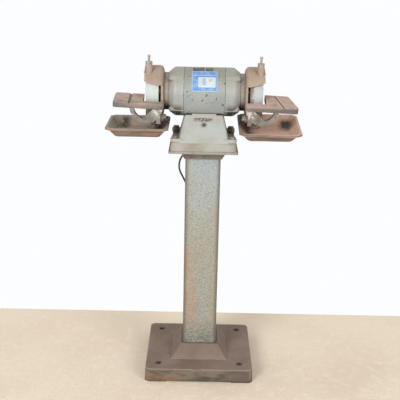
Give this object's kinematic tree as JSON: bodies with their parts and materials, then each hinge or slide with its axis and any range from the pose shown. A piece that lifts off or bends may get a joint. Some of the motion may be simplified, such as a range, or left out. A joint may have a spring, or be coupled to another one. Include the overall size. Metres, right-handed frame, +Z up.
{
  "type": "pedestal grinder",
  "caption": "Floor-standing electric grinder: a motor with a guarded abrasive wheel at each end, tilting tool rests and swarf trays, on a square column with a bolted floor plate.",
  "frame": {"origin": "centre of the floor plate's underside, on the floor", "axes": "+Z up the column, +X along the spindle towards the right-hand wheel as the operator sees it, +Y away from the operator"},
  "size_m": [0.59, 0.4739, 1.031],
  "materials": {
    "base_iron": "worn dark paint over cast iron",
    "column_paint": "hammered grey-green paint, chipped",
    "stand_paint": "pale grey-green paint, worn",
    "motor_paint": "hammered grey-green paint",
    "guard_iron": "rusted, remains of grey paint",
    "rest_iron": "rusted cast iron",
    "yoke_iron": "worn grey casting",
    "tray_iron": "rusted, stained",
    "post_iron": "rusted",
    "wheel_grit": "vitrified abrasive, open grain",
    "fastener_steel": "dull, oxidised",
    "spindle_steel": "turned steel",
    "core_steel": "stacked sheets",
    "winding_copper": "varnished copper",
    "bearing_steel": "ground",
    "switch_chrome": "plated, dulled",
    "switch_case": "moulded",
    "cord_rubber": "matt black",
    "tie_plastic": "matt black",
    "pin_brass": "bright"
  },
  "bodies": {
    "pedestal": {"floor_base": "base_iron", "column": "column_paint", "column_collar": "column_paint", "top_plate": "column_paint", "motor_stand": "stand_paint", "motor_shell": "motor_paint", "left_end_bell": "motor_paint", "right_end_bell": "motor_paint", "left_guard": "guard_iron", "right_guard": "guard_iron", "left_guard_cover": "guard_iron", "right_guard_cover": "guard_iron", "left_tray": "tray_iron", "right_tray": "tray_iron", "left_tray_post": "post_iron", "right_tray_post": "post_iron", "column_tie_rod": "fastener_steel", "stand_bolts": "fastener_steel", "tie_bolts": "fastener_steel", "guard_screws": "fastener_steel", "cover_screws": "fastener_steel", "guard_set_screws": "fastener_steel", "shield_nuts": "fastener_steel", "shield_studs": "fastener_steel", "left_tray_bolts": "fastener_steel", "right_tray_bolts": "fastener_steel", "stator_core": "core_steel", "end_windings": "winding_copper", "bearing_outer_rings": "bearing_steel", "switch_bush": "switch_chrome", "switch_body": "switch_case", "cord_gland": "cord_rubber", "power_cord": "cord_rubber", "cord_coil": "cord_rubber", "plug_body": "cord_rubber", "coil_tie": "tie_plastic", "plug_pins": "pin_brass"},
    "spindle": {"spindle_shaft": "spindle_steel", "rotor_core": "core_steel", "bearing_inner_rings": "bearing_steel", "left_wheel": "wheel_grit", "right_wheel": "wheel_grit", "left_inner_flange": "spindle_steel", "right_inner_flange": "spindle_steel", "left_outer_flange": "spindle_steel", "right_outer_flange": "spindle_steel", "left_spindle_nut": "spindle_steel", "right_spindle_nut": "spindle_steel"},
    "left_clamp": {"left_rest_clamp": "fastener_steel"},
    "left_rest": {"left_rest_yoke": "yoke_iron", "left_rest_table": "rest_iron", "left_rest_studs": "fastener_steel"},
    "right_clamp": {"right_rest_clamp": "fastener_steel"},
    "right_rest": {"right_rest_yoke": "yoke_iron", "right_rest_table": "rest_iron", "right_rest_studs": "fastener_steel"},
    "switch_toggle": {"switch_lever": "switch_chrome"}
  },
  "joints": [
    {"name": "spindle_spin", "type": "hinge", "parent": "pedestal", "child": "spindle", "pos_m": [0, 0, 0.917], "axis": [1, 0, 0], "continuous": true},
    {"name": "left_rest_slide", "type": "slide", "parent": "pedestal", "child": "left_clamp", "axis": [0, -1, 0], "range_m": [0, 0.012]},
    {"name": "left_rest_tilt", "type": "hinge", "parent": "left_clamp", "child": "left_rest", "pos_m": [0, -0.062, 0.847], "axis": [1, 0, 0], "range_deg": [-8, 10]},
    {"name": "right_rest_slide", "type": "slide", "parent": "pedestal", "child": "right_clamp", "axis": [0, -1, 0], "range_m": [0, 0.012]},
    {"name": "right_rest_tilt", "type": "hinge", "parent": "right_clamp", "child": "right_rest", "pos_m": [0, -0.06, 0.847], "axis": [1, 0, 0], "range_deg": [-8, 6]},
    {"name": "switch_throw", "type": "hinge", "parent": "pedestal", "child": "switch_toggle", "pos_m": [0, -0.06227, 0.825], "axis": [1, 0, 0], "range_deg": [-24, 0]}
  ]
}
